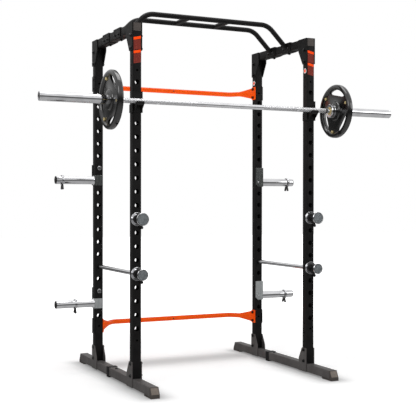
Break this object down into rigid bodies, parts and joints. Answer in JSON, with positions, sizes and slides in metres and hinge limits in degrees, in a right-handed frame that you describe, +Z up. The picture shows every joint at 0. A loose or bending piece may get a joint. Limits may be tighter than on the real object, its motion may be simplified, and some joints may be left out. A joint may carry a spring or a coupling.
{
  "type": "power cage",
  "caption": "Free-standing power cage with round braces, a pull-up bar, storage pegs with clips, spooled safety rods and a loaded barbell on its J-cups.",
  "frame": {"origin": "on the floor, midway between the four uprights", "axes": "+X along the barbell, to the right as seen from the front; +Y to the back; +Z up"},
  "size_m": [2.22, 1.224, 2.129],
  "materials": {
    "frame_paint": "satin black powder coat with a fine grain",
    "brace_paint": "semi-gloss orange powder coat",
    "cap_plastic": "moulded matt black plastic",
    "bar_chrome": "polished hard chrome, knurled along the grip areas",
    "peg_zinc": "bright zinc plating with faint drawing marks",
    "bolt_black": "black oxide fasteners",
    "plate_coat": "cast iron under a satin black moulded coat"
  },
  "bodies": {
    "cage_frame": {"left_base_rail": "frame_paint", "left_front_upright": "frame_paint", "left_rear_upright": "frame_paint", "left_top_beam": "frame_paint", "left_front_saddle": "frame_paint", "left_rear_saddle": "frame_paint", "left_j_cup": "frame_paint", "left_front_end_cap": "cap_plastic", "left_rear_end_cap": "cap_plastic", "left_mid_foot": "cap_plastic", "left_lower_brace_top_bolt": "bolt_black", "left_lower_brace_bottom_bolt": "bolt_black", "left_upper_brace_top_bolt": "bolt_black", "left_upper_brace_bottom_bolt": "bolt_black", "left_pull_up_grip": "frame_paint", "right_base_rail": "frame_paint", "right_front_upright": "frame_paint", "right_rear_upright": "frame_paint", "right_top_beam": "frame_paint", "right_front_saddle": "frame_paint", "right_rear_saddle": "frame_paint", "right_j_cup": "frame_paint", "right_front_end_cap": "cap_plastic", "right_rear_end_cap": "cap_plastic", "right_mid_foot": "cap_plastic", "right_lower_brace_top_bolt": "bolt_black", "right_lower_brace_bottom_bolt": "bolt_black", "right_upper_brace_top_bolt": "bolt_black", "right_upper_brace_bottom_bolt": "bolt_black", "right_pull_up_grip": "frame_paint", "lower_rear_brace": "brace_paint", "upper_rear_brace": "brace_paint", "front_pull_up_tube": "frame_paint", "rear_pull_up_tube": "frame_paint"},
    "barbell": {"barbell_shaft": "bar_chrome"},
    "left_sleeve_body": {"left_sleeve": "bar_chrome"},
    "left_plate_body": {"left_weight_plate": "plate_coat"},
    "left_lower_peg_body": {"left_lower_storage_peg": "peg_zinc", "left_lower_peg_cap": "cap_plastic"},
    "left_lower_clip_body": {"left_lower_spring_clip": "bar_chrome"},
    "left_upper_peg_body": {"left_upper_storage_peg": "peg_zinc", "left_upper_peg_cap": "cap_plastic"},
    "left_upper_clip_body": {"left_upper_spring_clip": "bar_chrome"},
    "left_safety_body": {"left_safety_rod": "bar_chrome"},
    "left_spool_body": {"left_spool_peg": "bar_chrome"},
    "left_safety_rod_lock": {"left_safety_rod_lever": "cap_plastic"},
    "left_spool_peg_lock": {"left_spool_peg_lever": "cap_plastic"},
    "right_sleeve_body": {"right_sleeve": "bar_chrome"},
    "right_plate_body": {"right_weight_plate": "plate_coat"},
    "right_lower_peg_body": {"right_lower_storage_peg": "peg_zinc", "right_lower_peg_cap": "cap_plastic"},
    "right_lower_clip_body": {"right_lower_spring_clip": "bar_chrome"},
    "right_upper_peg_body": {"right_upper_storage_peg": "peg_zinc", "right_upper_peg_cap": "cap_plastic"},
    "right_upper_clip_body": {"right_upper_spring_clip": "bar_chrome"},
    "right_safety_body": {"right_safety_rod": "bar_chrome"},
    "right_spool_body": {"right_spool_peg": "bar_chrome"},
    "right_safety_rod_lock": {"right_safety_rod_lever": "cap_plastic"},
    "right_spool_peg_lock": {"right_spool_peg_lever": "cap_plastic"}
  },
  "joints": [
    {"name": "barbell_lift", "type": "slide", "parent": "cage_frame", "child": "barbell", "axis": [0, 0, 1], "range_m": [0, 0.35]},
    {"name": "left_sleeve_spin", "type": "hinge", "parent": "barbell", "child": "left_sleeve_body", "pos_m": [-0.7, -0.372, 1.574], "axis": [1, 0, 0], "continuous": true},
    {"name": "left_plate_slide", "type": "slide", "parent": "left_sleeve_body", "child": "left_plate_body", "axis": [-1, 0, 0], "range_m": [0, 0.43]},
    {"name": "left_lower_peg_lift", "type": "hinge", "parent": "cage_frame", "child": "left_lower_peg_body", "pos_m": [-0.555, 0.32, 0.482], "axis": [0, 1, 0], "range_deg": [0, 90]},
    {"name": "left_lower_clip_slide", "type": "slide", "parent": "left_lower_peg_body", "child": "left_lower_clip_body", "axis": [-1, 0, 0], "range_m": [-0.105, 0.14]},
    {"name": "left_upper_peg_lift", "type": "hinge", "parent": "cage_frame", "child": "left_upper_peg_body", "pos_m": [-0.555, 0.32, 1.232], "axis": [0, 1, 0], "range_deg": [0, 90]},
    {"name": "left_upper_clip_slide", "type": "slide", "parent": "left_upper_peg_body", "child": "left_upper_clip_body", "axis": [-1, 0, 0], "range_m": [-0.185, 0.06]},
    {"name": "left_safety_pull", "type": "slide", "parent": "cage_frame", "child": "left_safety_body", "axis": [0, -1, 0], "range_m": [0, 0.7]},
    {"name": "left_spool_pull", "type": "slide", "parent": "cage_frame", "child": "left_spool_body", "axis": [0, -1, 0], "range_m": [0, 0.09]},
    {"name": "left_safety_rod_lock_turn", "type": "hinge", "parent": "left_safety_body", "child": "left_safety_rod_lock", "pos_m": [-0.555, -0.354, 0.632], "axis": [0, 1, 0], "range_deg": [-62, 28]},
    {"name": "left_spool_peg_lock_turn", "type": "hinge", "parent": "left_spool_body", "child": "left_spool_peg_lock", "pos_m": [-0.555, -0.354, 0.932], "axis": [0, 1, 0], "range_deg": [-62, 28]},
    {"name": "right_sleeve_spin", "type": "hinge", "parent": "barbell", "child": "right_sleeve_body", "pos_m": [0.7, -0.372, 1.574], "axis": [1, 0, 0], "continuous": true},
    {"name": "right_plate_slide", "type": "slide", "parent": "right_sleeve_body", "child": "right_plate_body", "axis": [1, 0, 0], "range_m": [0, 0.43]},
    {"name": "right_lower_peg_lift", "type": "hinge", "parent": "cage_frame", "child": "right_lower_peg_body", "pos_m": [0.555, 0.32, 0.482], "axis": [0, -1, 0], "range_deg": [0, 90]},
    {"name": "right_lower_clip_slide", "type": "slide", "parent": "right_lower_peg_body", "child": "right_lower_clip_body", "axis": [1, 0, 0], "range_m": [-0.167, 0.078]},
    {"name": "right_upper_peg_lift", "type": "hinge", "parent": "cage_frame", "child": "right_upper_peg_body", "pos_m": [0.555, 0.32, 1.232], "axis": [0, -1, 0], "range_deg": [0, 90]},
    {"name": "right_upper_clip_slide", "type": "slide", "parent": "right_upper_peg_body", "child": "right_upper_clip_body", "axis": [1, 0, 0], "range_m": [-0.185, 0.06]},
    {"name": "right_safety_pull", "type": "slide", "parent": "cage_frame", "child": "right_safety_body", "axis": [0, -1, 0], "range_m": [0, 0.7]},
    {"name": "right_spool_pull", "type": "slide", "parent": "cage_frame", "child": "right_spool_body", "axis": [0, -1, 0], "range_m": [0, 0.09]},
    {"name": "right_safety_rod_lock_turn", "type": "hinge", "parent": "right_safety_body", "child": "right_safety_rod_lock", "pos_m": [0.555, -0.354, 0.632], "axis": [0, 1, 0], "range_deg": [-62, 28]},
    {"name": "right_spool_peg_lock_turn", "type": "hinge", "parent": "right_spool_body", "child": "right_spool_peg_lock", "pos_m": [0.555, -0.354, 0.932], "axis": [0, 1, 0], "range_deg": [-62, 28]}
  ]
}
